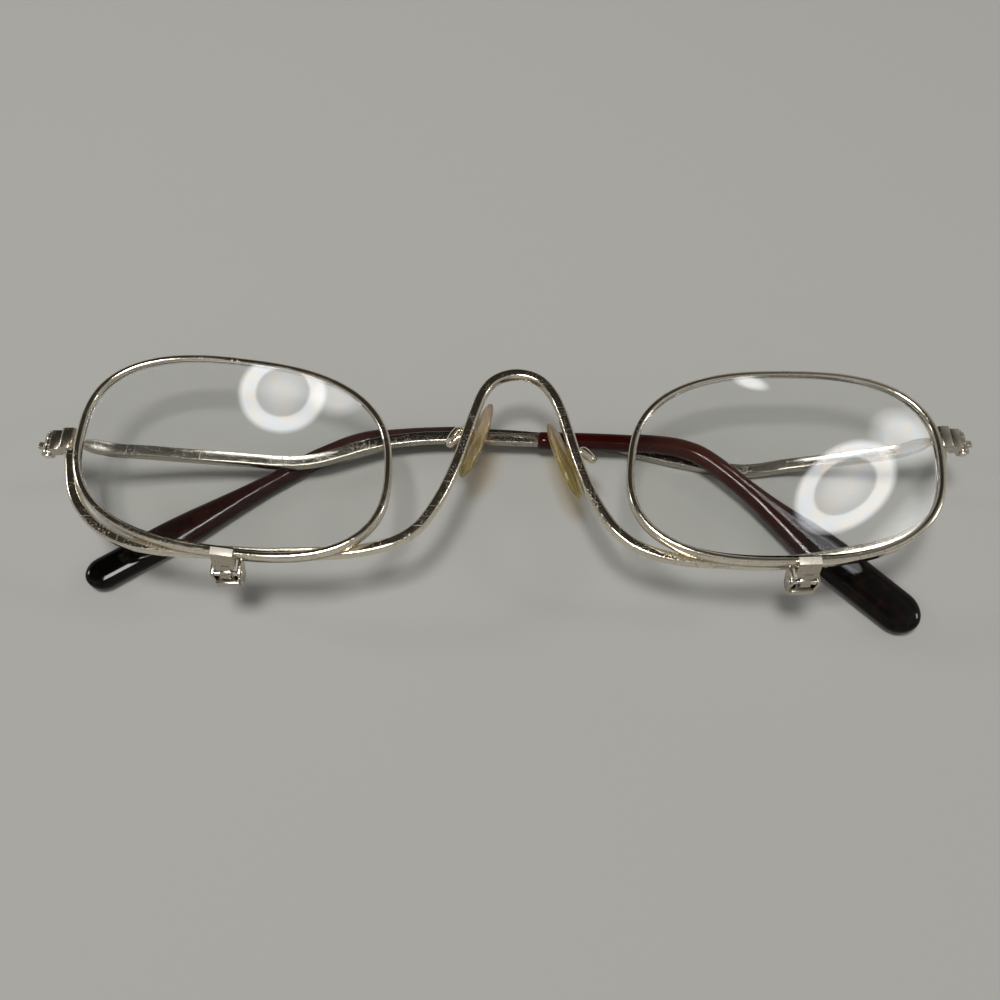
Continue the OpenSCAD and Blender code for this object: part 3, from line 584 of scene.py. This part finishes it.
def temple_bar(name):
    path, dist = temple_route(name)
    mouth = sum(1 for d in dist if d < TEMPLES[name][3])
    stop = len(path) - STEPS

    def section_at(i):
        if i <= mouth:
            w = min(BAR_W, BAR_START_W + (dist[i] - BAR_START) * BAR_WIDENING)
            return rounded(w, BAR_T, BAR_EDGE)
        return rounded(CORE_W, CORE_T, CORE_EDGE)

    rings = swept(path, section_at)[:stop]
    verts, faces = skin(rings)
    return piece("temple_wire_" + name, verts, faces, bar_gold_painted_shade, "temple_" + name,
                 ("temple_bar_" + name,), sharp=50)


def temple_tip(name, material):
    path, dist = temple_route(name)
    mouth = sum(1 for d in dist if d < TEMPLES[name][3])
    end = len(path) - 1
    frames = frames_along(path)

    def oval_ring(i, w, t, ahead):
        along, side, up = frames[i]
        ring = []
        for k in range(SLEEVE_SIDES):
            a = 2 * math.pi * (k + 0.5) / SLEEVE_SIDES
            ring.append(row(path[i] + along * ahead + side * w / 2 * soft(math.cos(a), SLEEVE_SOFT)
                            + up * t / 2 * soft(math.sin(a), SLEEVE_SOFT)))
        return ring

    paddle = PADDLE_W[name]

    def width(i):
        u = max(0, min(1, ((i - mouth) / (end - mouth) - PADDLE_FROM) / PADDLE_BY))
        return SLEEVE_W + (paddle - SLEEVE_W) * u * u * (3 - 2 * u)

    rings = []
    for a in (84, 68, 52, 36, 18):
        s, c = math.sin(math.radians(a)), math.cos(math.radians(a))
        rings.append(oval_ring(mouth, MOUTH_W + (SLEEVE_W - MOUTH_W) * c,
                               MOUTH_T + (SLEEVE_T - MOUTH_T) * c, MOUTH_DOME * (1 - s)))
    rings += [oval_ring(i, width(i), SLEEVE_T, 0) for i in range(mouth + 1, end + 1)]
    for a in range(8, 90, 8):
        s, c = math.sin(math.radians(a)), math.cos(math.radians(a))
        rings.append(oval_ring(end, paddle * c, SLEEVE_T * c ** PADDLE_BLUNT, paddle / 2 * s))
    verts, faces = skin(rings)
    return piece("tip_sleeve_" + name, verts, faces, material, "temple_" + name,
                 ("temple_tip_" + name,), sharp=60)


# Nose pads
PAD = {"left": (5.3, 6.2), "right": (7.9, 2.8)}
HOOK_DROP = {"left": 0.9, "right": 0}
PAD_Z, PAD_LEAN, PAD_SPLAY = FRONT_Z - 6.1, 17, 28
PAD_LEN, PAD_W, PAD_T = 13.7, 5.6, 2
PAD_BLUNT, PAD_SOFT_EDGE, PAD_TAPER = 2.4, 0.85, 0.2
BOX_OFF, STEM_R, STEM_PLAY, BOX_WALL = 0.9, 0.6, 0.08, 0.35
ARM_W, ARM_EDGE = 1, 0.48


def pad_local(p, name):
    """A point round the pad's own middle, in the front, with X outwards on either side."""
    x, y = PAD[name]
    q = Matrix.Rotation(math.radians(-PAD_SPLAY), 3, "Y") @ Vector(p)
    return Matrix.Rotation(math.radians(PAD_LEAN), 3, "Z") @ q + Vector((x, y, PAD_Z))


def mirrored(p, name):
    return Vector((SIDE[name] * p[0], p[1], p[2]))


def nose_pad(name):
    count, rows = 32, 28
    rings = []
    for i in range(rows + 1):
        t = 0.5 - 0.5 * math.cos(math.pi * i / rows)
        s = max(0.03, math.sqrt(max(0, 1 - abs(2 * t - 1) ** PAD_BLUNT)))
        ring = []
        for k in range(count):
            a = 2 * math.pi * k / count
            x = -s * PAD_T / 2 * soft(math.cos(a), PAD_SOFT_EDGE)
            z = s * PAD_W / 2 * math.sin(a) * (1 - PAD_TAPER * (2 * t - 1))
            ring.append(row(mirrored(pad_local((x, PAD_LEN * (t - 0.5), z), name), name)))
        rings.append(ring)
    verts, faces = skin(rings)
    return piece("pad_silicone_" + name, verts, faces, pad_soft, "pad_" + name,
                 ("nose_pad_" + name,), sharp=80)


def pad_arm(name):
    """The arm's wire, from the back of its pad's box to the carrier's leg."""
    back = PAD_T / 2 + BOX_OFF + STEM_R + STEM_PLAY + BOX_WALL
    start = pad_local((back, 0, 0), name)
    drop = HOOK_DROP[name]
    leg_y = PAD[name][1] - 0.7 - drop
    leg_out = lookup(-leg_y, [(-y, x) for x, y in NOSE[name]]) + WIRE_W / 2
    line = [pad_local((back - 0.1, 0, 0), name), pad_local((back + 0.6, -0.3, 0), name),
            start + Vector((1.7, -1.7 - drop / 2, 0.5)), start + Vector((1.4, -2.4 - drop, 1.4)),
            Vector((leg_out + 0.6, leg_y - 0.3, WIRE_Z - 0.1)),
            Vector((leg_out - 0.1, leg_y, WIRE_Z))]
    path = smooth([mirrored(p, name) for p in line], 10)
    section = rounded(ARM_W, ARM_W, ARM_EDGE, 4)
    verts, faces = skin(swept(path, lambda i: section))
    return piece("pad_wire_" + name, verts, faces, rim_gold, "frame",
                 ("pad_arm_" + name,), sharp=60)


# Build: the sheet and turned pieces keep the solids' shape, with edges broken by so much
EASED = {"end_block": (sheet_gold_painted_shade, "gold_wire", 0.18),
         "front_hinge": (sheet_gold_painted_shade, "gold_wire", 0.08),
         "temple_hinge": (sheet_gold_painted_shade, "gold_wire", 0.08),
         "flip_bracket": (sheet_gold_painted_shade, "gold_wire", 0.07),
         "flip_clip": (sheet_gold_painted_shade, "gold_wire", 0.08),
         "pad_box": (rim_gold, "gold_wire", 0.05),
         "hinge_screw": (pin_steel, "screw_steel", 0.04),
         "flip_pin": (pin_steel, "screw_steel", 0.04),
         "flip_spring": (pin_steel, "screw_steel", 0.03),
         "pad_pin": (pin_steel, "screw_steel", 0.04)}
TIP_PLASTIC = {"left": tip_left_plastic, "right": tip_right_plastic_and_painted_shade}

carrier()
lenses = bpy.data.collections.new("lenses")
for name in SIDE:
    rim(name)
    lenses.objects.link(lens(name))
    temple_bar(name)
    temple_tip(name, TIP_PLASTIC[name])
    nose_pad(name)
    pad_arm(name)
    for node, (material, slot, edge) in EASED.items():
        obj = eased(node + "_" + name, material, edge)
        # The clip's top faces get the painted highlight
        if node == "flip_clip":
            paint_top_highlight(obj, lip_gold_painted_highlight)


# Floor, camera and light
FLOOR_HALF = 3.0
# The camera's height angle, turn and roll, and its distance in millimetres from the point it faces
CAMERA_TURNS = (62.0, 2.09, 2.26)
CAMERA_AIM, CAMERA_AWAY = (-1.90, -7.45, FRONT_Z), 122.63
SENSOR_W, PICTURE_W, FOCAL_PIXELS = 36, 1000, 877.85
# The shaped lamps' distance in metres from where the lenses mirror them, and that place's height
LAMP_AWAY, GLINT_Z = 0.8, 13.7


def floor():
    mesh = bpy.data.meshes.new("floor")
    s = FLOOR_HALF
    mesh.from_pydata([(-s, -s, 0), (s, -s, 0), (s, s, 0), (-s, s, 0)], [], [(0, 1, 2, 3)])
    obj = bpy.data.objects.new("floor", mesh)
    material, _, bsdf = principled("floor_plain")
    bsdf.inputs["Base Color"].default_value = (0.42, 0.42, 0.405, 1)
    bsdf.inputs["Roughness"].default_value = 0.9
    mesh.materials.append(material)
    scene.collection.objects.link(obj)


def camera():
    el, az, roll = (math.radians(a) for a in CAMERA_TURNS)
    fwd = Vector((math.sin(az) * math.cos(el), math.cos(az) * math.cos(el), -math.sin(el)))
    right = Vector((math.cos(az), -math.sin(az), 0))
    up = right.cross(fwd)
    r2 = right * math.cos(roll) + up * math.sin(roll)
    u2 = up * math.cos(roll) - right * math.sin(roll)
    cam = bpy.data.cameras.new("camera")
    cam.sensor_width = SENSOR_W
    cam.lens = SENSOR_W * FOCAL_PIXELS / PICTURE_W
    cam.clip_start = 0.005
    obj = bpy.data.objects.new("camera", cam)
    scene.collection.objects.link(obj)
    place = row(Vector(CAMERA_AIM) - fwd * CAMERA_AWAY)
    turn = Matrix((r2, u2, -fwd)).transposed().to_4x4()
    obj.matrix_world = Matrix.Translation(place) @ turn
    scene.camera = obj


def area(name, place, aim, size, power, colour, size_y=None, shape="SQUARE"):
    light = bpy.data.lights.new(name, "AREA")
    light.shape = shape
    light.size = size
    if size_y:
        light.size_y = size_y
    light.energy = power
    light.color = colour
    obj = bpy.data.objects.new(name, light)
    obj.location = place
    obj.rotation_euler = (Vector(place) - Vector(aim)).to_track_quat("Z", "Y").to_euler()
    scene.collection.objects.link(obj)
    return obj


def shaped_lamp(name, glint, aim, size, power, mask):
    """A lamp for the lenses alone, mirrored at glint, that a mask shapes from its middle out."""
    start = row(glint)
    place = start + Vector(aim).normalized() * LAMP_AWAY
    lamp = area(name, place, start, size[0], power, (1, 1, 1), size[1], "RECTANGLE")
    lamp.data.use_nodes = True
    tree = lamp.data.node_tree
    emission = tree.nodes["Emission"]
    spot = tree.nodes.new("ShaderNodeNewGeometry").outputs["Parametric"]
    shift = tree.nodes.new("ShaderNodeVectorMath")
    shift.operation = "SUBTRACT"
    tree.links.new(spot, shift.inputs[0])
    shift.inputs[1].default_value = (0.5, 0.5, 0)
    length = tree.nodes.new("ShaderNodeVectorMath")
    length.operation = "LENGTH"
    tree.links.new(shift.outputs[0], length.inputs[0])
    tree.links.new(mask(tree, length.outputs["Value"]), emission.inputs["Strength"])
    tint = ramp(tree, noise(tree, spot, 5.0, 1.0), 0.4, 0.6)
    fringe = mix_colour(tree, tint, (1, 0.94, 0.87, 1), (0.88, 0.94, 1, 1))
    tree.links.new(fringe, emission.inputs["Color"])
    lamp.light_linking.receiver_collection = lenses


def ring_mask(tree, away):
    rim_of_light = ramp(tree, away, 0.26, 0.31, 0, 1)
    middle = ramp(tree, away, 0.1, 0.26, 0.62, 0.36)
    fading = ramp(tree, away, 0.43, 0.5, 1, 0)
    return math_node(tree, "MULTIPLY", math_node(tree, "MAXIMUM", rim_of_light, middle), fading)


def glow_mask(tree, away):
    return ramp(tree, away, 0.22, 0.5, 1, 0)


def sky():
    """A dim room: dark where the flat faces and the lenses mirror it, paler all round."""
    world = bpy.data.worlds.new("room")
    scene.world = world
    world.use_nodes = True
    tree = world.node_tree
    back = tree.nodes["Background"]
    v = tree.nodes.new("ShaderNodeTexCoord").outputs["Generated"]
    dot = tree.nodes.new("ShaderNodeVectorMath")
    dot.operation = "DOT_PRODUCT"
    tree.links.new(v, dot.inputs[0])
    dot.inputs[1].default_value = (-0.24, 0.47, 0.849)
    bright = ramp(tree, dot.outputs["Value"], 0.87, 0.68, 0.005, 0.36)
    patch = ramp(tree, noise(tree, v, 3.2, 2.0), 0.35, 0.65, 0.6, 1.3)
    level = math_node(tree, "MULTIPLY", bright, patch)
    tint = mix_colour(tree, level, (0.02, 0.017, 0.014, 1), (0.95, 0.95, 0.93, 1))
    tree.links.new(tint, back.inputs["Color"])
    back.inputs["Strength"].default_value = 1.0


floor()
camera()
sky()
area("key_panel", (-0.12, -0.03, 1.0), (0, 0, 0), 0.28, 6.2, (1, 0.985, 0.95))
area("left_panel", (-0.8, 0.25, 0.45), (0, 0, 0), 0.12, 0.7, (0.97, 0.98, 1))
area("right_panel", (0.8, 0.1, 0.5), (0, 0, 0), 0.12, 0.6, (1, 0.98, 0.95))
for label, x, y, aim, size, power, mask in (
        ("left_ring_lamp", -34.1, 10.3, (-0.175, 0.633, 0.754), (0.175, 0.211), 1.3, ring_mask),
        ("right_ring_lamp", 46.6, -5.4, (0.44, 0.413, 0.797), (0.152, 0.275), 1.5, ring_mask),
        ("left_glow_lamp", -26.0, 9.7, (-0.052, 0.633, 0.773), (0.118, 0.108), 0.25, glow_mask),
        ("right_glow_lamp", 57.4, 3.5, (0.557, 0.511, 0.654), (0.136, 0.153), 0.5, glow_mask),
        ("patch_lamp", 36.0, 12.9, (0.261, 0.66, 0.705), (0.078, 0.039), 0.1, glow_mask)):
    shaped_lamp(label, (x, y, GLINT_Z), aim, size, power, mask)
scene.view_settings.view_transform = "Standard"
